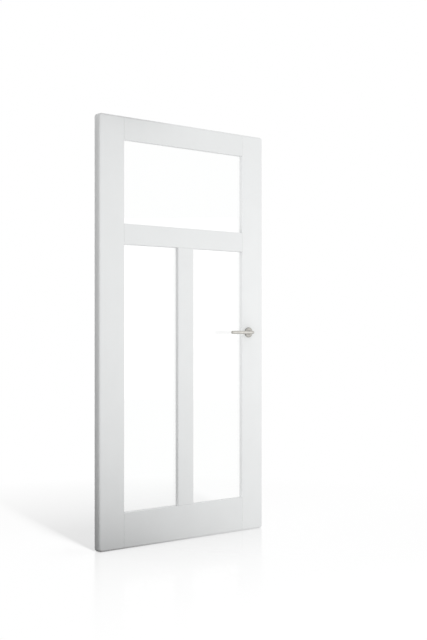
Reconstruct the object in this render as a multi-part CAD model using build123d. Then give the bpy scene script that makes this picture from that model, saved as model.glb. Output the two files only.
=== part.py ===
from build123d import *
from math import radians, tan
import os

os.makedirs("parts", exist_ok=True)

# Glazed door leaf in millimetres.
# The hinge edge lies on x = 0, the front face looks to -y, and z = 0 is halfway up the leaf.

# Leaf
LEAF_W = 985.0
LEAF_H = 1985.0
LEAF_T = 46.0
EDGE_R = 9.0
CORNER_R = 14.0

# Members, widths as seen on the front face
STILE_W = 135.0
TOP_RAIL_W = 107.0
CROSS_RAIL_W = 95.0
BOTTOM_RAIL_W = 166.0
MULLION_W = 92.0
TOP_LIGHT_H = 385.0
PANE_EASE_R = 1.5
SHOULDER_EASE_R = 0.8

# Glazing: a fixed lip in front, the pane, then loose beads at the back
LIP_T = 20.0
REBATE_W = 23.0
GLASS_T = 4.0
GLASS_EDGE_GAP = 3.0
BEAD_W = 12.0
BEAD_LAND = 2.0
BEAD_CREST = 3.0
BEAD_SETBACK = 1.0
BEAD_EASE_R = 0.8

# Lever on the front
HANDLE_H = 994.0
BACKSET = 95.0
ROSE_D = 50.0
ROSE_T = 6.0
ROSE_CHAMFER = 1.5
LEVER_D = 16.0
LEVER_STANDOFF = 44.0
LEVER_LEN = 145.0
LEVER_BEND_R = 17.0
LEVER_TIP_R = 3.0
LEVER_INSET = 4.5
LEVER_SOCKET = 22.0
NECK_CLEAR = 0.08
SPINDLE_A = 8.0
STILE_BORE_D = 20.0

# Turn piece on the back
TURN_ROSE_D = 36.0
TURN_ROSE_T = 3.0
TURN_ROSE_CHAMFER = 1.0
TURN_NECK_D = 14.0
TURN_INSET = 2.0
TURN_SOCKET = 12.0
TURN_GAP = 5.0
TURN_W = 10.0
TURN_H = 32.0
TURN_T = 10.0
TURN_END_R = 4.0
TURN_EASE_R = 1.5

# Tubular latch in the lock edge
FOREND_W = 25.0
FOREND_H = 57.0
FOREND_T = 3.0
FOREND_CORNER_R = 4.0
FOREND_CLEAR = 0.2
CASE_D = 22.0
CASE_LEN = 108.0
CASE_CLEAR = 0.3
CASE_END_GAP = 1.0
CASE_SPINDLE_D = 14.0
BOLT_W = 11.0
BOLT_H = 16.0
BOLT_OUT = 11.0
BOLT_TAIL = 22.0
BOLT_CLEAR = 0.3
BOLT_NOSE = 3.0
BOLT_NOSE_R = 1.0

# Derived planes
FRONT = -LEAF_T / 2
BACK = LEAF_T / 2
FOOT = -LEAF_H / 2
HEAD = LEAF_H / 2
GLASS_FRONT = FRONT + LIP_T
GLASS_BACK = GLASS_FRONT + GLASS_T
LOCK_INNER = LEAF_W - STILE_W
MULLION_L = LEAF_W / 2 - MULLION_W / 2
MULLION_R = LEAF_W / 2 + MULLION_W / 2
BOTTOM_RAIL_Z = FOOT + BOTTOM_RAIL_W
TOP_RAIL_Z = HEAD - TOP_RAIL_W
CROSS_TOP_Z = TOP_RAIL_Z - TOP_LIGHT_H
CROSS_LOW_Z = CROSS_TOP_Z - CROSS_RAIL_W
HANDLE_Z = FOOT + HANDLE_H
SPINDLE_X = LEAF_W - BACKSET
FOREND_X = LEAF_W - FOREND_T
ALONG = LEAF_W + LEAF_H


def save(solid, name):
    solid.label = name
    export_step(solid, f"parts/{name}.step")


def outline(corners):
    """Closed outline from (u, v, radius) corners; radius 0 keeps a corner sharp."""
    points = [Vector(u, v) for u, v, r in corners]
    edges = []
    stops = []
    for i, (u, v, radius) in enumerate(corners):
        back = (points[i - 1] - points[i]).normalized()
        ahead = (points[(i + 1) % len(points)] - points[i]).normalized()
        trim = radius / tan(radians(back.get_angle(ahead) / 2))
        stops.append((points[i] + back * trim, points[i] + ahead * trim))
        if radius > 0:
            edges.append(TangentArc(*stops[i], tangent=-back))
    edges += [Line(stops[i - 1][1], stops[i][0]) for i in range(len(stops))]
    return make_face(edges)


def along_x(corners):
    """Prism along x from a (y, z) outline."""
    return extrude(Plane.YZ * outline(corners), amount=ALONG, both=True)


def along_y(corners):
    """Prism along y from an (x, z) outline."""
    return extrude(Plane.XZ * outline(corners), amount=ALONG, both=True)


def along_z(corners):
    """Prism along z from an (x, y) outline."""
    return extrude(outline(corners), amount=ALONG, both=True)


def block(x0, x1, y0, y1, z0, z1):
    return Pos((x0 + x1) / 2, (y0 + y1) / 2, (z0 + z1) / 2) * Box(x1 - x0, y1 - y0, z1 - z0)


# Whole leaf: its four corners rounded, then the arrises of both faces rounded over all the way round
leaf = block(0, LEAF_W, FRONT, BACK, FOOT, HEAD)
leaf = fillet(leaf.edges().filter_by(Axis.Y), CORNER_R)
faces = leaf.faces().sort_by(Axis.Y)
leaf = fillet(faces[0].edges() + faces[-1].edges(), EDGE_R)

# Stiles run the full height with a through rebate on the inner back edge
hinge_stile = leaf & along_z([
    (0, FRONT, 0),
    (STILE_W, FRONT, PANE_EASE_R),
    (STILE_W, GLASS_FRONT, 0),
    (STILE_W - REBATE_W, GLASS_FRONT, 0),
    (STILE_W - REBATE_W, BACK, SHOULDER_EASE_R),
    (0, BACK, 0),
])
lock_stile = leaf & along_z([
    (LEAF_W, FRONT, 0),
    (LOCK_INNER, FRONT, PANE_EASE_R),
    (LOCK_INNER, GLASS_FRONT, 0),
    (LOCK_INNER + REBATE_W, GLASS_FRONT, 0),
    (LOCK_INNER + REBATE_W, BACK, SHOULDER_EASE_R),
    (LEAF_W, BACK, 0),
])


def forend_plate(grow):
    """Forend let into the lock edge, grown all round by a clearance."""
    half_w = FOREND_W / 2 + grow
    half_h = FOREND_H / 2 + grow
    plate = along_x([
        (-half_w, HANDLE_Z - half_h, FOREND_CORNER_R),
        (half_w, HANDLE_Z - half_h, FOREND_CORNER_R),
        (half_w, HANDLE_Z + half_h, FOREND_CORNER_R),
        (-half_w, HANDLE_Z + half_h, FOREND_CORNER_R),
    ])
    return plate & block(FOREND_X, LEAF_W, FRONT, BACK, FOOT, HEAD)


def latch_tube(diameter, length):
    """Round body of the latch, running inwards from the forend."""
    return Pos(FOREND_X - length / 2, 0, HANDLE_Z) * Rot(0, 90, 0) * Cylinder(diameter / 2, length)


def spindle_hole(diameter):
    """Round hole on the spindle axis, through both faces."""
    return Pos(SPINDLE_X, 0, HANDLE_Z) * Rot(90, 0, 0) * Cylinder(diameter / 2, 2 * LEAF_T)


# The lock stile is let in for the forend and bored for the latch and the spindle
lock_stile -= forend_plate(FOREND_CLEAR)
lock_stile -= latch_tube(CASE_D + 2 * CASE_CLEAR, CASE_LEN + CASE_END_GAP)
lock_stile -= spindle_hole(STILE_BORE_D)


# Rails fit between the stiles: short shoulders in front, long shoulders filling the rebates behind
rail_plan = along_z([
    (STILE_W, FRONT, SHOULDER_EASE_R),
    (LOCK_INNER, FRONT, SHOULDER_EASE_R),
    (LOCK_INNER, GLASS_FRONT, 0),
    (LOCK_INNER + REBATE_W, GLASS_FRONT, 0),
    (LOCK_INNER + REBATE_W, BACK, SHOULDER_EASE_R),
    (STILE_W - REBATE_W, BACK, SHOULDER_EASE_R),
    (STILE_W - REBATE_W, GLASS_FRONT, 0),
    (STILE_W, GLASS_FRONT, 0),
])
top_rail = rail_plan & along_x([
    (FRONT, HEAD, EDGE_R),
    (FRONT, TOP_RAIL_Z, PANE_EASE_R),
    (GLASS_FRONT, TOP_RAIL_Z, 0),
    (GLASS_FRONT, TOP_RAIL_Z + REBATE_W, 0),
    (BACK, TOP_RAIL_Z + REBATE_W, SHOULDER_EASE_R),
    (BACK, HEAD, EDGE_R),
])
cross_rail = rail_plan & along_x([
    (FRONT, CROSS_TOP_Z, PANE_EASE_R),
    (FRONT, CROSS_LOW_Z, PANE_EASE_R),
    (GLASS_FRONT, CROSS_LOW_Z, 0),
    (GLASS_FRONT, CROSS_LOW_Z + REBATE_W, 0),
    (BACK, CROSS_LOW_Z + REBATE_W, SHOULDER_EASE_R),
    (BACK, CROSS_TOP_Z - REBATE_W, SHOULDER_EASE_R),
    (GLASS_FRONT, CROSS_TOP_Z - REBATE_W, 0),
    (GLASS_FRONT, CROSS_TOP_Z, 0),
])
bottom_rail = rail_plan & along_x([
    (FRONT, FOOT, EDGE_R),
    (FRONT, BOTTOM_RAIL_Z, PANE_EASE_R),
    (GLASS_FRONT, BOTTOM_RAIL_Z, 0),
    (GLASS_FRONT, BOTTOM_RAIL_Z - REBATE_W, 0),
    (BACK, BOTTOM_RAIL_Z - REBATE_W, SHOULDER_EASE_R),
    (BACK, FOOT, EDGE_R),
])

# The mullion stands between cross rail and bottom rail with the same long and short shoulders
mullion_side = along_x([
    (FRONT, BOTTOM_RAIL_Z, SHOULDER_EASE_R),
    (FRONT, CROSS_LOW_Z, SHOULDER_EASE_R),
    (GLASS_FRONT, CROSS_LOW_Z, 0),
    (GLASS_FRONT, CROSS_LOW_Z + REBATE_W, 0),
    (BACK, CROSS_LOW_Z + REBATE_W, SHOULDER_EASE_R),
    (BACK, BOTTOM_RAIL_Z - REBATE_W, SHOULDER_EASE_R),
    (GLASS_FRONT, BOTTOM_RAIL_Z - REBATE_W, 0),
    (GLASS_FRONT, BOTTOM_RAIL_Z, 0),
])
mullion = mullion_side & along_z([
    (MULLION_L, FRONT, PANE_EASE_R),
    (MULLION_R, FRONT, PANE_EASE_R),
    (MULLION_R, GLASS_FRONT, 0),
    (MULLION_R - REBATE_W, GLASS_FRONT, 0),
    (MULLION_R - REBATE_W, BACK, SHOULDER_EASE_R),
    (MULLION_L + REBATE_W, BACK, SHOULDER_EASE_R),
    (MULLION_L + REBATE_W, GLASS_FRONT, 0),
    (MULLION_L, GLASS_FRONT, 0),
])

save(hinge_stile, "hinge_stile")
save(lock_stile, "lock_stile")
save(top_rail, "top_rail")
save(cross_rail, "cross_rail")
save(bottom_rail, "bottom_rail")
save(mullion, "mullion")


# Panes and their mitred back beads; each light is given by its rebate
def bead_section(wall, inward):
    """Splayed bead outline from the rebate wall inwards, as (across, depth, radius)."""
    top = BACK - BEAD_SETBACK
    return [
        (wall, GLASS_BACK, 0),
        (wall + inward * BEAD_W, GLASS_BACK, 0),
        (wall + inward * BEAD_W, GLASS_BACK + BEAD_LAND, BEAD_EASE_R),
        (wall + inward * BEAD_CREST, top, BEAD_EASE_R),
        (wall, top, 0),
    ]


def flip(section):
    """The same outline as (depth, across, radius)."""
    return [(v, u, r) for u, v, r in section]


def glaze(light, x0, x1, z0, z1):
    """Pane and four beads for a light whose rebate spans x0..x1 and z0..z1."""
    g = GLASS_EDGE_GAP
    save(block(x0 + g, x1 - g, GLASS_FRONT, GLASS_BACK, z0 + g, z1 - g), f"{light}_glass")
    w = BEAD_W
    low = along_y([(x0, z0, 0), (x1, z0, 0), (x1 - w, z0 + w, 0), (x0 + w, z0 + w, 0)])
    head = along_y([(x0, z1, 0), (x0 + w, z1 - w, 0), (x1 - w, z1 - w, 0), (x1, z1, 0)])
    left = along_y([(x0, z0, 0), (x0 + w, z0 + w, 0), (x0 + w, z1 - w, 0), (x0, z1, 0)])
    right = along_y([(x1, z0, 0), (x1, z1, 0), (x1 - w, z1 - w, 0), (x1 - w, z0 + w, 0)])
    save(low & along_x(flip(bead_section(z0, 1))), f"{light}_bead_low")
    save(head & along_x(flip(bead_section(z1, -1))), f"{light}_bead_head")
    save(left & along_z(bead_section(x0, 1)), f"{light}_bead_hinge_side")
    save(right & along_z(bead_section(x1, -1)), f"{light}_bead_lock_side")


REBATE_L = STILE_W - REBATE_W
REBATE_R = LOCK_INNER + REBATE_W
LOW_Z = BOTTOM_RAIL_Z - REBATE_W
HIGH_Z = CROSS_LOW_Z + REBATE_W
glaze("top", REBATE_L, REBATE_R, CROSS_TOP_Z - REBATE_W, TOP_RAIL_Z + REBATE_W)
glaze("left", REBATE_L, MULLION_L + REBATE_W, LOW_Z, HIGH_Z)
glaze("right", MULLION_R - REBATE_W, REBATE_R, LOW_Z, HIGH_Z)


# Round roses, bored for the necks that turn in them
def rose(side, diameter, thick, chamfer, neck):
    """Rose on the face at y = side * LEAF_T / 2."""
    base = side * BACK
    bore = neck / 2 + NECK_CLEAR
    profile = outline([
        (bore, base, 0),
        (diameter / 2, base, 0),
        (diameter / 2, base + side * (thick - chamfer), 0),
        (diameter / 2 - chamfer, base + side * thick, 0),
        (bore, base + side * thick, 0),
    ])
    return Pos(SPINDLE_X, 0, HANDLE_Z) * revolve(profile, Axis.Y)


save(rose(-1, ROSE_D, ROSE_T, ROSE_CHAMFER, LEVER_D), "front_rose")
save(rose(1, TURN_ROSE_D, TURN_ROSE_T, TURN_ROSE_CHAMFER, TURN_NECK_D), "back_rose")


def socket(start, depth):
    """Square hole for the spindle, from y = start."""
    return Pos(0, start + depth / 2, 0) * Box(SPINDLE_A, abs(depth), SPINDLE_A)


# Round bar lever with a swept elbow, pointing to the hinge edge
LEVER_START = FRONT - ROSE_T + LEVER_INSET
LEVER_REACH = FRONT - LEVER_STANDOFF
path = Polyline((0, LEVER_START), (0, LEVER_REACH), (-LEVER_LEN, LEVER_REACH))
path = fillet(path.vertices().sort_by_distance((0, LEVER_REACH, 0))[0], LEVER_BEND_R)
lever = sweep(Plane((0, LEVER_START, 0), z_dir=(0, -1, 0)) * Circle(LEVER_D / 2), path)
tip = lever.edges().filter_by(GeomType.CIRCLE).sort_by(Axis.X)[0]
lever = fillet(tip, LEVER_TIP_R) - socket(LEVER_START, -LEVER_SOCKET)
save(Pos(SPINDLE_X, 0, HANDLE_Z) * lever, "front_lever")

# Turn piece: a round neck under a flat grip, upright at rest
TURN_START = BACK + TURN_ROSE_T - TURN_INSET
TURN_UNDER = BACK + TURN_ROSE_T + TURN_GAP
grip = along_y([
    (-TURN_W / 2, -TURN_H / 2, TURN_END_R),
    (TURN_W / 2, -TURN_H / 2, TURN_END_R),
    (TURN_W / 2, TURN_H / 2, TURN_END_R),
    (-TURN_W / 2, TURN_H / 2, TURN_END_R),
])
grip &= block(-TURN_W, TURN_W, TURN_UNDER, TURN_UNDER + TURN_T, -TURN_H, TURN_H)
grip = fillet(grip.faces().sort_by(Axis.Y)[-1].edges(), TURN_EASE_R)
neck = Rot(90, 0, 0) * Cylinder(TURN_NECK_D / 2, TURN_UNDER - TURN_START)
neck = Pos(0, (TURN_START + TURN_UNDER) / 2, 0) * neck
turn = grip + neck - socket(TURN_START, TURN_SOCKET)
save(Pos(SPINDLE_X, 0, HANDLE_Z) * turn, "back_turn")

# One square spindle through the leaf, seated in both
spindle = block(-SPINDLE_A / 2, SPINDLE_A / 2,
                LEVER_START - LEVER_SOCKET, TURN_START + TURN_SOCKET,
                -SPINDLE_A / 2, SPINDLE_A / 2)
save(Pos(SPINDLE_X, 0, HANDLE_Z) * spindle, "spindle")

# Tubular latch: forend let in flush, case behind it, bevelled bolt through both
BOLT_TAIL_X = FOREND_X - BOLT_TAIL
BOLT_TIP_X = LEAF_W + BOLT_OUT
bolt_y = BOLT_W / 2
bolt_z = BOLT_H / 2
bolt_window = block(BOLT_TAIL_X, BOLT_TIP_X,
                    -bolt_y - BOLT_CLEAR, bolt_y + BOLT_CLEAR,
                    HANDLE_Z - bolt_z - BOLT_CLEAR, HANDLE_Z + bolt_z + BOLT_CLEAR)
bolt = block(BOLT_TAIL_X, BOLT_TIP_X, FRONT, BACK, HANDLE_Z - bolt_z, HANDLE_Z + bolt_z)
bolt &= along_z([
    (BOLT_TAIL_X, -bolt_y, 0),
    (LEAF_W, -bolt_y, 0),
    (BOLT_TIP_X, bolt_y - BOLT_NOSE, BOLT_NOSE_R),
    (BOLT_TIP_X, bolt_y, 0),
    (BOLT_TAIL_X, bolt_y, 0),
])
case = latch_tube(CASE_D, CASE_LEN) - spindle_hole(CASE_SPINDLE_D)
save(forend_plate(0) - bolt_window, "latch_forend")
save(case - bolt_window, "latch_case")
save(bolt, "latch_bolt")
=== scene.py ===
import math

import bmesh
import bpy
from mathutils import Matrix, Vector


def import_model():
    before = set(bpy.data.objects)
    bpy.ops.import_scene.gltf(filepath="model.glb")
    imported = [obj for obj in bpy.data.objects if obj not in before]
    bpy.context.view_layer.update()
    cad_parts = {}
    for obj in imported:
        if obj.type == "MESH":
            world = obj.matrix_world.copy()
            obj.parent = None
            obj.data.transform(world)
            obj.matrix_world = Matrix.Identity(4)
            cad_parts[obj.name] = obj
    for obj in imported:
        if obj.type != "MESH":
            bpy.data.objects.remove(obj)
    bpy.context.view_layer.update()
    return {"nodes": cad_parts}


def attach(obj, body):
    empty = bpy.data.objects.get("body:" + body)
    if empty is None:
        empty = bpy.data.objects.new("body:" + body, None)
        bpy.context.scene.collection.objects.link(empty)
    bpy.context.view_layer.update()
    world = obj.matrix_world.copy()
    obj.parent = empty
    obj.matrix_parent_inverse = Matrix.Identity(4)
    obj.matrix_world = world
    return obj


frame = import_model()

NODES = frame["nodes"]
LEAF = "leaf"
LEVER_SET = "lever_set"
WHITE = (1, 1, 1, 1)

# Leaf, in metres
FOOT = -0.9925
LEAF_W = 0.985
FACE = 0.023

# Panes: name, low x, high x, low z, high z of the opening that shows
LIGHTS = (
    ("top", 0.135, 0.850, FOOT + 1.493, FOOT + 1.878),
    ("left", 0.135, 0.4465, FOOT + 0.166, FOOT + 1.398),
    ("right", 0.5385, 0.850, FOOT + 0.166, FOOT + 1.398),
)
GLASS_FRONT = -0.003
GLASS_BACK = 0.001
FRONT_SEAL = 0.0008
BACK_SEAL = FRONT_SEAL * 0.8

# Glazing beads on the back, from the edge of the opening
BEAD_TOE = 0.011
BEAD_TOE_Y = 0.003
BEAD_CREST = 0.020
BEAD_CREST_Y = 0.022

# Bead pins; the head is given in shares of the radius and of the height
PIN_R = 0.0010
PIN_PROUD = 0.00015
PIN_SUNK = 0.0003
PIN_HEAD = ((1.0, 0.3), (0.8, 1.0), (0.3, 1.2))
PIN_SIDES = 14
PIN_PITCH = 0.170
PIN_END = 0.040

# Handle
SPINDLE_X = 0.890
HANDLE_Z = FOOT + 0.994
ROSE_T = 0.006
LEVER_R = 0.008
TURN_ROSE_T = 0.003
TURN_R = 0.007

# Bearing collars on the roses
COLLAR_W = 0.0024
COLLAR_PLAY = 0.0002
COLLAR_SUNK = 0.001
COLLAR_WALL = 0.0003
COLLAR_ROUND = 0.0004
COLLAR_BEVEL = 0.0003
COLLAR_SIDES = 64

# Set screw under the lever's neck
GRUB_Y = -0.039
GRUB_R = 0.0021
GRUB_H = 0.0014
GRUB_SUNK = 0.0012
GRUB_BEVEL = 0.0003
GRUB_SIDES = 48
SOCKET_R = GRUB_R * 0.52
SOCKET_FLOOR = 0.0004

# Latch plate and its screws: name, side of the handle, turn of the recess in radians
FOREND_H = 0.057
SCREWS = (("forend_screw_low", -1, 0.4), ("forend_screw_high", 1, 1.1))
SCREW_FROM_END = 0.0075
SCREW_R = 0.0036
SCREW_RISE = 0.0007
SCREW_SHANK_R = SCREW_R * 0.7
SCREW_SUNK = 0.0015
SCREW_STEPS = 7
SCREW_SIDES = 48
RECESS_LONG = 0.0044
RECESS_NARROW = 0.0009
RECESS_TAPER = 0.55
RECESS_H = 0.0018
RECESS_UP = 0.0003

# Angles, in degrees, from which an edge is shaded sharp
SHARP = 40.0
GRUB_SHARP = 25.0
SCREW_SHARP = 30.0

# Photograph
CAMERA_AT = (-2.5948, -4.0151, FOOT + 0.9845)
CAMERA_YAW = math.radians(39.219)
CAMERA_LENS = 59.11
CAMERA_RISE = 0.0223
SENSOR = 36.0


# Node helpers

# Most of a noise lies between these values
NOISE_LOW = 0.3
NOISE_HIGH = 0.7


def material(name):
    mat = bpy.data.materials.new(name)
    mat.use_nodes = True
    mat.node_tree.nodes.clear()
    return mat, mat.node_tree


def node(tree, kind, inputs=None, **settings):
    made = tree.nodes.new("ShaderNode" + kind)
    for key, value in settings.items():
        setattr(made, key, value)
    for key, value in (inputs or {}).items():
        socket = made.inputs[key]
        if isinstance(value, bpy.types.NodeSocket):
            tree.links.new(value, socket)
        else:
            socket.default_value = value
    return made


def object_coords(tree, scale=(1, 1, 1), location=(0, 0, 0)):
    coords = node(tree, "TexCoord").outputs["Object"]
    inputs = {"Vector": coords, "Scale": scale, "Location": location}
    return node(tree, "Mapping", inputs).outputs["Vector"]


def noise(tree, vector, scale, detail=2.0, rough=0.5):
    inputs = {"Vector": vector, "Scale": scale, "Detail": detail, "Roughness": rough}
    return node(tree, "TexNoise", inputs).outputs["Fac"]


def ranged(tree, value, low, high, at_low, at_high, kind="LINEAR"):
    inputs = {"Value": value, "From Min": low, "From Max": high, "To Min": at_low, "To Max": at_high}
    return node(tree, "MapRange", inputs, interpolation_type=kind).outputs["Result"]


def spread(tree, value, low, high):
    return ranged(tree, value, NOISE_LOW, NOISE_HIGH, low, high)


def shades(tree, value, dark, light):
    ramp = node(tree, "ValToRGB", {"Fac": value})
    ramp.color_ramp.elements[0].position = NOISE_LOW
    ramp.color_ramp.elements[0].color = (*dark, 1)
    ramp.color_ramp.elements[1].position = NOISE_HIGH
    ramp.color_ramp.elements[1].color = (*light, 1)
    return ramp.outputs["Color"]


def bump(tree, height, distance, strength, normal=None):
    inputs = {"Height": height, "Distance": distance, "Strength": strength}
    if normal is not None:
        inputs["Normal"] = normal
    return node(tree, "Bump", inputs).outputs["Normal"]


def blend(tree, factor, a, b):
    return node(tree, "Mix", {"Factor": factor, "A": a, "B": b}, data_type="FLOAT").outputs["Result"]


def times(tree, a, b):
    return node(tree, "Math", {0: a, 1: b}, operation="MULTIPLY").outputs[0]


def mixed(tree, factor, a, b):
    return node(tree, "MixShader", {"Fac": factor, 1: a, 2: b}).outputs["Shader"]


def surface(tree, shader):
    node(tree, "OutputMaterial", {"Surface": shader})


# Materials; each relief is the distance and the strength of a bump

PAINT_TONES = ((0.848, 0.860, 0.860), (0.864, 0.876, 0.876))
PAINT_ROUGH = (0.34, 0.46)
PAINT_IOR = 1.47
STROKE_ACROSS = 420.0
STROKE_ALONG = 7.0
STROKE_RELIEF = (0.0004, 0.28)
STIPPLE_SCALE = 1100.0
STIPPLE_RELIEF = (0.0003, 0.18)
UNEVEN_SCALE = 9.0
UNEVEN_RELIEF = (0.004, 0.10)
# Painted shade: the paint turns grey where ambient occlusion finds surfaces close by, in creases and
# joints
CREASE_SHADE = (0.36, 0.36, 0.35, 1)
CREASE_SHADE_REACH = 0.0025
CREASE_SHADE_OPEN = (0.25, 0.8)
CREASE_SHADE_MOST = 0.40

GLASS_TONES = ((0.990, 0.997, 0.994), (0.995, 0.999, 0.997))
GLASS_ROUGH = (0.0, 0.012)
GLASS_IOR = 1.45
GLASS_SPECULAR = 0.1
SMEAR_STRETCH = (3.0, 1.0, 0.8)
SMEAR_SCALE = 4.0
RIPPLE_SCALE = 2.5
RIPPLE_RELIEF = (0.0004, 0.05)

SEALANT_TONES = ((0.76, 0.765, 0.76), (0.81, 0.815, 0.81))
NYLON_TONES = ((0.10, 0.10, 0.098), (0.15, 0.15, 0.147))

NICKEL_BAR_TONES = ((0.465, 0.452, 0.424), (0.555, 0.541, 0.508))
# The roses' nickel is a darker copy of the lever's: painted shade on the roses
NICKEL_ROSE_SHADED_TONES = ((0.285, 0.277, 0.259), (0.365, 0.355, 0.333))
NICKEL = {"cloud": 70.0, "detail": 3.0, "rough": (0.24, 0.40), "relief": (0.0001, 0.22)}
BAR_STRETCH = (30.0, 3000.0, 3000.0)
TURNED_SCALE = 2600.0

PLATED_TONES = ((0.50, 0.50, 0.49), (0.62, 0.62, 0.61))
SCREW_TONES = ((0.44, 0.44, 0.45), (0.56, 0.56, 0.57))
STEEL = {"cloud": 120.0, "detail": 2.0, "relief": (0.0001, 0.2)}
STEEL_STRETCH = (900.0, 900.0, 60.0)


def crease_shaded(tree, tone):
    """The tone, darkened where surfaces meet: painted shade in the creases and joints."""
    open_air = node(tree, "AmbientOcclusion", {"Distance": CREASE_SHADE_REACH}, samples=6, only_local=False)
    share = ranged(tree, open_air.outputs["AO"], *CREASE_SHADE_OPEN, CREASE_SHADE_MOST, 0.0)
    return node(tree, "Mix", {"Factor": share, "A": tone, "B": CREASE_SHADE}, data_type="RGBA").outputs["Result"]


def paint(name, along):
    """Satin white paint on timber: brush strokes along an axis, fine stipple, a faint unevenness, painted
    shade where surfaces meet.
    """
    mat, tree = material(name)
    plain = object_coords(tree)
    scale = [STROKE_ACROSS] * 3
    scale[along] = STROKE_ALONG
    strokes = noise(tree, object_coords(tree, scale), scale=1.0, detail=3.0, rough=0.6)
    stipple = noise(tree, plain, STIPPLE_SCALE)
    uneven = noise(tree, plain, UNEVEN_SCALE)
    normal = bump(tree, uneven, *UNEVEN_RELIEF)
    normal = bump(tree, strokes, *STROKE_RELIEF, normal)
    normal = bump(tree, stipple, *STIPPLE_RELIEF, normal)
    shader = node(tree, "BsdfPrincipled", {
        "Base Color": crease_shaded(tree, shades(tree, uneven, *PAINT_TONES)),
        "Roughness": spread(tree, strokes, *PAINT_ROUGH),
        "IOR": PAINT_IOR, "Normal": normal})
    surface(tree, shader.outputs["BSDF"])
    return mat


def clear_glass():
    """Float glass with a breath of green and faint smears; bounced light passes straight through it."""
    mat, tree = material("clear_float_glass")
    smear = noise(tree, object_coords(tree, SMEAR_STRETCH), SMEAR_SCALE, detail=4.0, rough=0.6)
    ripple = noise(tree, object_coords(tree), RIPPLE_SCALE, detail=1.0)
    shader = node(tree, "BsdfPrincipled", {
        "Base Color": shades(tree, smear, *GLASS_TONES),
        "Roughness": spread(tree, smear, *GLASS_ROUGH),
        "IOR": GLASS_IOR, "Specular IOR Level": GLASS_SPECULAR, "Transmission Weight": 1.0,
        "Normal": bump(tree, ripple, *RIPPLE_RELIEF)})
    bounced = node(tree, "LightPath").outputs["Is Diffuse Ray"]
    open_air = node(tree, "BsdfTransparent", {"Color": WHITE}).outputs["BSDF"]
    surface(tree, mixed(tree, bounced, shader.outputs["BSDF"], open_air))
    return mat


def moulded(name, tones, scale, detail, rough, relief):
    """Fine even grain, as on sealant or nylon."""
    mat, tree = material(name)
    grain = noise(tree, object_coords(tree), scale, detail)
    shader = node(tree, "BsdfPrincipled", {
        "Base Color": shades(tree, grain, *tones),
        "Roughness": spread(tree, grain, *rough),
        "Normal": bump(tree, grain, *relief)})
    surface(tree, shader.outputs["BSDF"])
    return mat


def metal(name, tones, lines, cloud, detail, rough, relief):
    """Satin metal clouded between two tones; lines makes the socket that carries its fine brushing."""
    mat, tree = material(name)
    clouds = noise(tree, object_coords(tree), cloud, detail)
    brushed = lines(tree)
    shader = node(tree, "BsdfPrincipled", {
        "Base Color": shades(tree, clouds, *tones),
        "Metallic": 1.0, "Roughness": spread(tree, brushed, *rough),
        "Normal": bump(tree, brushed, *relief)})
    surface(tree, shader.outputs["BSDF"])
    return mat


def brushed_along_x(tree):
    return noise(tree, object_coords(tree, BAR_STRETCH), scale=1.0)


def brushed_round(tree):
    """Turned lines about the spindle."""
    away = object_coords(tree, (1.0, 0.0, 1.0), (-SPINDLE_X, 0.0, -HANDLE_Z))
    radius = node(tree, "VectorMath", {0: away}, operation="LENGTH").outputs["Value"]
    inputs = {"W": radius, "Scale": TURNED_SCALE, "Detail": 2.0}
    return node(tree, "TexNoise", inputs, noise_dimensions="1D").outputs["Fac"]


def brushed_upright(tree):
    return noise(tree, object_coords(tree, STEEL_STRETCH), scale=1.0, detail=3.0)


PAINT_UPRIGHT = paint("satin_white_upright", along=2)
PAINT_LEVEL = paint("satin_white_level", along=0)
GLASS = clear_glass()
SEALANT = moulded("glazing_sealant", SEALANT_TONES, 260.0, 3.0, rough=(0.38, 0.55), relief=(0.0004, 0.2))
NICKEL_BAR = metal("satin_nickel_bar", NICKEL_BAR_TONES, brushed_along_x, **NICKEL)
# Turned nickel for the roses, in the darker tones: painted shade
NICKEL_TURNED_SHADED = metal("satin_nickel_turned_shaded", NICKEL_ROSE_SHADED_TONES, brushed_round, **NICKEL)
PLATED = metal("plated_steel_satin", PLATED_TONES, brushed_upright, rough=(0.26, 0.40), **STEEL)
SCREW_STEEL = metal("screw_steel", SCREW_TONES, brushed_upright, rough=(0.22, 0.36), **STEEL)
NYLON = moulded("bearing_nylon", NYLON_TONES, 900.0, 2.0, rough=(0.45, 0.6), relief=(0.0001, 0.2))


def node_material(name):
    if name.endswith("_glass"):
        return GLASS
    if name.endswith("_rose"):
        return NICKEL_TURNED_SHADED
    if name in ("front_lever", "back_turn"):
        return NICKEL_BAR
    if name.startswith("latch_") or name == "spindle":
        return PLATED
    if name.endswith(("_stile", "_side")) or name == "mullion":
        return PAINT_UPRIGHT
    return PAINT_LEVEL


def dress_nodes():
    for name, obj in NODES.items():
        obj.data.materials.clear()
        obj.data.materials.append(node_material(name))


# Mesh helpers

def linked(name, bm):
    """Object in the scene with the faces of bm, which is used up."""
    mesh = bpy.data.meshes.new(name)
    bm.to_mesh(mesh)
    bm.free()
    obj = bpy.data.objects.new(name, mesh)
    bpy.context.scene.collection.objects.link(obj)
    return obj


def piece(name, bm, mat, body, sharp=SHARP):
    bmesh.ops.recalc_face_normals(bm, faces=bm.faces)
    obj = linked(name, bm)
    mesh = obj.data
    mesh.polygons.foreach_set("use_smooth", [True] * len(mesh.polygons))
    mesh.set_sharp_from_angle(angle=math.radians(sharp))
    mesh.materials.append(mat)
    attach(obj, body)
    return obj


def skin(bm, rings, closed):
    """Quads between rings of vertices, each closed on itself; closed joins the last ring to the first."""
    steps = len(rings) if closed else len(rings) - 1
    for i in range(steps):
        a = rings[i]
        b = rings[(i + 1) % len(rings)]
        for j in range(len(a)):
            k = (j + 1) % len(a)
            bm.faces.new((a[j], a[k], b[k], b[j]))


def capped_skin(bm, rings):
    skin(bm, rings, closed=False)
    bm.faces.new(rings[0])
    bm.faces.new(rings[-1])


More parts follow.
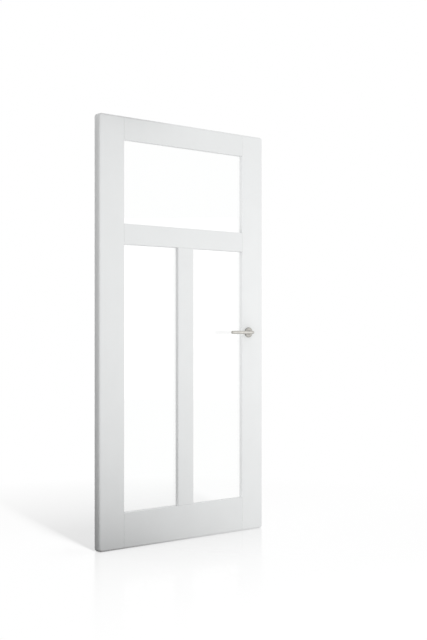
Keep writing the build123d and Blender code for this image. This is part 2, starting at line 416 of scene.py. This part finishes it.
def turned_ring(bm, place, height, radii):
    """Ring of vertices about the Z axis at a height, one for each radius, then placed."""
    ring = []
    for i, r in enumerate(radii):
        angle = 2 * math.pi * i / len(radii)
        at = Vector((r * math.cos(angle), r * math.sin(angle), height))
        ring.append(bm.verts.new(place @ at))
    return ring


def turned_rings(bm, profile, place, sides):
    """One round ring for each (radius, height) of a profile."""
    return [turned_ring(bm, place, h, [r] * sides) for r, h in profile]


def arc(centre, radius, start, end, steps):
    points = []
    for i in range(steps + 1):
        angle = math.radians(start + (end - start) * i / steps)
        points.append((centre[0] + radius * math.cos(angle), centre[1] + radius * math.sin(angle)))
    return points


def pointing(at, direction):
    """Placement whose Z axis points along direction."""
    turn = Vector(direction).to_track_quat("Z", "Y").to_matrix().to_4x4()
    return Matrix.Translation(at) @ turn


# Seals and pins of the panes

def frame_ring(bm, opening, profile):
    """Sweeps a closed profile of (distance in from the opening, y) round a pane, mitred at the corners."""
    x0, x1, z0, z1 = opening
    rings = []
    for d, y in profile:
        corners = ((x0 + d, z0 + d), (x1 - d, z0 + d), (x1 - d, z1 - d), (x0 + d, z1 - d))
        rings.append([bm.verts.new((x, y, z)) for x, z in corners])
    skin(bm, rings, closed=True)


def hollow_fillet(corner, inward, outward, size, steps=5):
    """Concave fillet in a corner, drawn from one leg to the other."""
    points = [corner]
    for d, t in arc((1.0, 1.0), 1.0, 180.0, 270.0, steps):
        points.append((corner[0] + inward * size * d, corner[1] + outward * size * t))
    return points


def seals():
    for name, *opening in LIGHTS:
        bm = bmesh.new()
        frame_ring(bm, opening, hollow_fillet((0.0, GLASS_FRONT), 1, -1, FRONT_SEAL))
        piece(name + "_front_seal", bm, SEALANT, LEAF)
        bm = bmesh.new()
        frame_ring(bm, opening, hollow_fillet((-BEAD_TOE, GLASS_BACK), 1, 1, BACK_SEAL))
        piece(name + "_back_seal", bm, SEALANT, LEAF)


def stations(low, high):
    """Places of the pins along one side of a pane."""
    count = max(2, round((high - low - 2 * PIN_END) / PIN_PITCH) + 1)
    step = (high - low - 2 * PIN_END) / (count - 1)
    return [low + PIN_END + i * step for i in range(count)]


def pin_spot(bm, at, direction):
    """Filled head of a bead pin, a low rounded spot under the paint."""
    profile = [(PIN_R, -PIN_SUNK)]
    profile += [(PIN_R * across, PIN_PROUD * up) for across, up in PIN_HEAD]
    capped_skin(bm, turned_rings(bm, profile, pointing(at, direction), PIN_SIDES))


def pins():
    run = BEAD_CREST - BEAD_TOE
    rise = BEAD_CREST_Y - BEAD_TOE_Y
    depth = BEAD_TOE + run / 2
    y = BEAD_TOE_Y + rise / 2
    for name, x0, x1, z0, z1 in LIGHTS:
        bm = bmesh.new()
        for x in stations(x0, x1):
            pin_spot(bm, (x, y, z0 - depth), (0, run, rise))
            pin_spot(bm, (x, y, z1 + depth), (0, run, -rise))
        for z in stations(z0, z1):
            pin_spot(bm, (x0 - depth, y, z), (rise, run, 0))
            pin_spot(bm, (x1 + depth, y, z), (-rise, run, 0))
        piece(name + "_bead_pins", bm, PAINT_LEVEL, LEAF)


# Handle

def collar(side, face, neck, rose):
    """Bearing collar round a neck, on its rose."""
    bm = bmesh.new()
    place = pointing((SPINDLE_X, face * (FACE + rose), HANDLE_Z), (0, face, 0))
    inner = neck + COLLAR_PLAY
    outer = neck + COLLAR_W
    top = COLLAR_WALL + COLLAR_ROUND
    profile = [(inner, -COLLAR_SUNK), (outer, -COLLAR_SUNK), (outer, COLLAR_WALL)]
    profile += arc((outer - COLLAR_ROUND, COLLAR_WALL), COLLAR_ROUND, 0.0, 90.0, steps=4)[1:]
    profile += [(inner + COLLAR_BEVEL, top), (inner, top - COLLAR_BEVEL)]
    skin(bm, turned_rings(bm, profile, place, COLLAR_SIDES), closed=True)
    piece(side + "_neck_collar", bm, NYLON, LEAF)


def hexagon(corner_r, sides):
    """Radii that draw a hexagon, whose corners lie at corner_r, on a ring of this many vertices."""
    radii = []
    for i in range(sides):
        from_flat = 2 * math.pi * i / sides % (math.pi / 3) - math.pi / 6
        radii.append(corner_r * math.cos(math.pi / 6) / math.cos(from_flat))
    return radii


def grub_screw():
    """Socket set screw under the neck."""
    bm = bmesh.new()
    place = pointing((SPINDLE_X, GRUB_Y, HANDLE_Z - LEVER_R + GRUB_SUNK), (0, 0, -1))
    profile = [(GRUB_R, 0.0), (GRUB_R, GRUB_H - GRUB_BEVEL), (GRUB_R - GRUB_BEVEL, GRUB_H)]
    rings = turned_rings(bm, profile, place, GRUB_SIDES)
    for height in (GRUB_H, SOCKET_FLOOR):
        rings.append(turned_ring(bm, place, height, hexagon(SOCKET_R, GRUB_SIDES)))
    capped_skin(bm, rings)
    piece("lever_grub_screw", bm, SCREW_STEEL, LEVER_SET, GRUB_SHARP)


def cross_cutter(place):
    """Two crossed blocks that narrow downwards."""
    bm = bmesh.new()
    for wide, deep in ((RECESS_LONG, RECESS_NARROW), (RECESS_NARROW, RECESS_LONG)):
        block = bmesh.ops.create_cube(bm, size=1.0)["verts"]
        for v in block:
            taper = 1.0 if v.co.z > 0 else RECESS_TAPER
            height = v.co.z * RECESS_H + RECESS_UP
            v.co = place @ Vector((v.co.x * wide * taper, v.co.y * deep * taper, height))
    return linked("cutter", bm)


def cut(obj, cutter):
    """Takes the cutter out of a piece and keeps only the result."""
    mod = obj.modifiers.new("recess", "BOOLEAN")
    mod.object = cutter
    mod.operation = "DIFFERENCE"
    mod.solver = "EXACT"
    mod.use_self = True
    bpy.context.view_layer.update()
    done = bpy.data.meshes.new_from_object(obj.evaluated_get(bpy.context.evaluated_depsgraph_get()))
    obj.modifiers.clear()
    old = obj.data
    obj.data = done
    bpy.data.meshes.remove(old)
    spare = cutter.data
    bpy.data.objects.remove(cutter)
    bpy.data.meshes.remove(spare)
    done.set_sharp_from_angle(angle=math.radians(SCREW_SHARP))


def forend_screw(name, side, turn):
    """Raised countersunk screw with a cross recess, in the latch plate."""
    bm = bmesh.new()
    z = HANDLE_Z + side * (FOREND_H / 2 - SCREW_FROM_END)
    place = pointing((LEAF_W, 0.0, z), (1, 0, 0)) @ Matrix.Rotation(turn, 4, "Z")
    profile = [(SCREW_SHANK_R, -SCREW_SUNK), (SCREW_R, 0.0)]
    for i in range(1, SCREW_STEPS):
        t = i / SCREW_STEPS
        profile.append((SCREW_R * (1 - t), SCREW_RISE * math.sin(t * math.pi / 2)))
    capped_skin(bm, turned_rings(bm, profile, place, SCREW_SIDES))
    obj = piece(name, bm, SCREW_STEEL, LEAF, SCREW_SHARP)
    cut(obj, cross_cutter(place))


# Stage

WORLD_LEVEL = 0.805

# Dark cards: beside the hinge edge, widest at the foot, and over the hinge corner of the head
CARD_TONE = (0.10, 0.10, 0.10, 1)
EDGE_CARD_X = -0.08
EDGE_CARD_FOOT_Y = (-0.02, 0.14)
EDGE_CARD_HEAD_Y = (-0.02, 0.058)
EDGE_CARD_Z = (FOOT, FOOT + 2.0)
HEAD_CARD_X = (-0.40, 0.35)
HEAD_CARD_Y = (-0.13, -0.03)
HEAD_CARD_Z = FOOT + 2.085

# Floor as it is seen: its glow at the ends of GLOW_Y, and between which distances it turns plain white
FLOOR_HALF = 30.0
FLOOR_DROP = 0.0005
FLOOR_PALE = 0.10
GLOW_Y = (-0.9, 0.3)
GLOW = (0.615, 0.665)
FLOOR_MIDDLE = (LEAF_W / 2, 0.0, FOOT)
FLOOR_WHITE = (0.5, 2.25)

# Faint mirror of the floor: its level at the hinge edge and at the lock edge, and how far it reaches
SHEEN = (0.56, 1.4)
SHEEN_REACH = 1.9
SHEEN_BLUR = 0.15
SHEEN_IOR = 1.38

# Light that the floor throws back: its level at the ends of BOUNCE_X, a dark spot that fades out between
# two radii, and a shade close to the lock foot
BOUNCE_X = (-0.96, 1.09)
BOUNCE = (1.0, 0.93)
BOUNCE_DARK = 0.01
DARK_SPOT = (-0.22, 0.16, FOOT)
DARK_SPOT_R = (0.186, 1.28)
FOOT_SHADE = 0.20
FOOT_SHADE_Y = (FACE, FACE + 0.36)
FOOT_SHADE_X = (0.3, 0.9)

# Lamps; each size is width and length
LEAF_MIDDLE = Vector((LEAF_W / 2, 0.0, FOOT + 1.0))
SOFTBOX_AT = (1.79, -1.39, FOOT + 1.15)
SOFTBOX_SIZE = (1.2, 1.2)
SOFTBOX_POWER = 3.7
STRIP_TOWARDS = Vector((-0.292, -0.956, 0.0))
STRIP_AWAY = 4.2
STRIP_RISE = 5.95
STRIP_SIZE = (0.2, 6.0)
STRIP_POWER = 2170.0
FILL_AT = (-2.2, -0.35, FOOT + 1.0)
FILL_TO = (LEAF_W, -0.02, FOOT + 1.0)
FILL_SIZE = (0.4, 1.8)
FILL_POWER = 20.0


def seen_ray(tree):
    """1 for rays that show the background: straight, mirrored or through glass."""
    path = node(tree, "LightPath").outputs
    pair = node(tree, "Math", {0: path["Is Camera Ray"], 1: path["Is Glossy Ray"]}, operation="MAXIMUM")
    seen = node(tree, "Math", {0: pair.outputs[0], 1: path["Is Transmission Ray"]}, operation="MAXIMUM")
    return seen.outputs[0]


def world():
    """Soft white studio light; a plain white background to seen rays."""
    sky = bpy.data.worlds.new("studio")
    bpy.context.scene.world = sky
    sky.use_nodes = True
    tree = sky.node_tree
    tree.nodes.clear()
    level = blend(tree, seen_ray(tree), WORLD_LEVEL, 1.0)
    light = node(tree, "Background", {"Color": WHITE, "Strength": level})
    node(tree, "OutputWorld", {"Surface": light.outputs["Background"]})


def distance_from(tree, point):
    place = node(tree, "NewGeometry").outputs["Position"]
    return node(tree, "VectorMath", {0: place, 1: point}, operation="DISTANCE").outputs["Value"]


def from_leaf(tree, place):
    """Distance in front of the leaf's plane or behind it."""
    return node(tree, "Math", {0: place["Y"]}, operation="ABSOLUTE").outputs[0]


def floor_bounce(tree, place):
    """Light that the floor throws back: almost none round the hinge foot, less close to the lock foot."""
    across = ranged(tree, place["X"], *BOUNCE_X, *BOUNCE, "SMOOTHSTEP")
    away = ranged(tree, distance_from(tree, DARK_SPOT), *DARK_SPOT_R, 0.0, 1.0, "SMOOTHSTEP")
    close = ranged(tree, from_leaf(tree, place), *FOOT_SHADE_Y, FOOT_SHADE, 0.0, "SMOOTHSTEP")
    lockward = ranged(tree, place["X"], *FOOT_SHADE_X, 0.0, 1.0, "SMOOTHSTEP")
    level = blend(tree, away, BOUNCE_DARK, across)
    shade = times(tree, close, lockward)
    return node(tree, "Math", {0: level, 1: shade}, operation="SUBTRACT").outputs[0]


def floor_sheen(tree, place, seen):
    """Faint mirror: fades with the distance from the leaf and grows towards the lock edge."""
    fade = ranged(tree, from_leaf(tree, place), 0.0, SHEEN_REACH, 1.0, 0.0)
    along = ranged(tree, place["X"], 0.0, LEAF_W, *SHEEN)
    grazing = node(tree, "Fresnel", {"IOR": SHEEN_IOR}).outputs["Fac"]
    return times(tree, times(tree, fade, along), times(tree, grazing, seen))


def floor_material():
    """Pale floor: white with the shadow on it to seen rays; to bounced rays a glow whose level is painted
    bounce light.
    """
    mat, tree = material("studio_floor")
    seen = seen_ray(tree)
    position = node(tree, "NewGeometry").outputs["Position"]
    place = node(tree, "SeparateXYZ", {"Vector": position}).outputs
    lit = node(tree, "BsdfDiffuse", {"Color": times(tree, seen, FLOOR_PALE)}).outputs["BSDF"]
    level = blend(tree, seen, floor_bounce(tree, place), ranged(tree, place["Y"], *GLOW_Y, *GLOW))
    glow = node(tree, "Emission", {"Strength": level}).outputs["Emission"]
    flat = node(tree, "AddShader", {0: lit, 1: glow}).outputs["Shader"]
    mirror = node(tree, "BsdfGlossy", {"Color": WHITE, "Roughness": SHEEN_BLUR}).outputs["BSDF"]
    near = mixed(tree, floor_sheen(tree, place, seen), flat, mirror)
    far = ranged(tree, distance_from(tree, FLOOR_MIDDLE), *FLOOR_WHITE, 0.0, 1.0)
    white = node(tree, "Emission", {"Strength": 1.0}).outputs["Emission"]
    surface(tree, mixed(tree, times(tree, far, seen), near, white))
    return mat


def floor():
    bm = bmesh.new()
    bmesh.ops.create_grid(bm, x_segments=1, y_segments=1, size=FLOOR_HALF)
    obj = linked("studio_floor", bm)
    obj.data.materials.append(floor_material())
    obj.location = Vector(FLOOR_MIDDLE) - Vector((0.0, 0.0, FLOOR_DROP))
    return obj


def shade_cards():
    """Dark cards by the hinge edge and the head; no straight, mirrored or refracted ray shows them."""
    bm = bmesh.new()
    low, high = EDGE_CARD_Z
    corners = [(y, low) for y in EDGE_CARD_FOOT_Y] + [(y, high) for y in reversed(EDGE_CARD_HEAD_Y)]
    bm.faces.new([bm.verts.new((EDGE_CARD_X, y, z)) for y, z in corners])
    (x0, x1), (y0, y1) = HEAD_CARD_X, HEAD_CARD_Y
    corners = ((x0, y0), (x1, y0), (x1, y1), (x0, y1))
    bm.faces.new([bm.verts.new((x, y, HEAD_CARD_Z)) for x, y in corners])
    obj = linked("shade_card", bm)
    mat, tree = material("card_black")
    surface(tree, node(tree, "BsdfDiffuse", {"Color": CARD_TONE}).outputs["BSDF"])
    obj.data.materials.append(mat)
    obj.visible_camera = False
    obj.visible_glossy = False
    obj.visible_transmission = False
    return obj


def area_lamp(name, at, target, size, power):
    lamp = bpy.data.lights.new(name, "AREA")
    lamp.shape = "RECTANGLE"
    lamp.size, lamp.size_y = size
    lamp.energy = power
    obj = bpy.data.objects.new(name, lamp)
    obj.location = at
    obj.rotation_euler = (Vector(target) - Vector(at)).to_track_quat("-Z", "Y").to_euler()
    obj.visible_camera = False
    bpy.context.scene.collection.objects.link(obj)
    return obj


def group(name, obj, state="INCLUDE"):
    """Collection of one object, for a lamp's light linking."""
    made = bpy.data.collections.new(name)
    made.objects.link(obj)
    made.collection_objects[0].light_linking.link_state = state
    return made


def lamps(ground, cards):
    """A softbox at the right, a strip that lights only the floor, a fill for the lock stile alone."""
    area_lamp("side_softbox", SOFTBOX_AT, LEAF_MIDDLE, SOFTBOX_SIZE, SOFTBOX_POWER)
    strip_at = LEAF_MIDDLE + STRIP_TOWARDS * STRIP_AWAY + Vector((0, 0, STRIP_RISE))
    strip = area_lamp("floor_strip", strip_at, LEAF_MIDDLE, STRIP_SIZE, STRIP_POWER)
    strip.light_linking.receiver_collection = group("only_floor", ground)
    strip.light_linking.blocker_collection = group("not_card", cards, "EXCLUDE")
    fill = area_lamp("lock_fill", FILL_AT, FILL_TO, FILL_SIZE, FILL_POWER)
    fill.light_linking.receiver_collection = group("only_lock_stile", NODES["lock_stile"])


def camera():
    cam = bpy.data.cameras.new("camera")
    cam.sensor_width = SENSOR
    cam.lens = CAMERA_LENS
    cam.shift_y = CAMERA_RISE
    obj = bpy.data.objects.new("camera", cam)
    obj.location = CAMERA_AT
    obj.rotation_euler = (math.pi / 2, 0.0, -CAMERA_YAW)
    bpy.context.scene.collection.objects.link(obj)
    bpy.context.scene.camera = obj


dress_nodes()
seals()
pins()
collar("front", -1, LEVER_R, ROSE_T)
collar("back", 1, TURN_R, TURN_ROSE_T)
grub_screw()
for screw in SCREWS:
    forend_screw(*screw)
world()
lamps(floor(), shade_cards())
camera()
bpy.context.scene.view_settings.view_transform = "Standard"
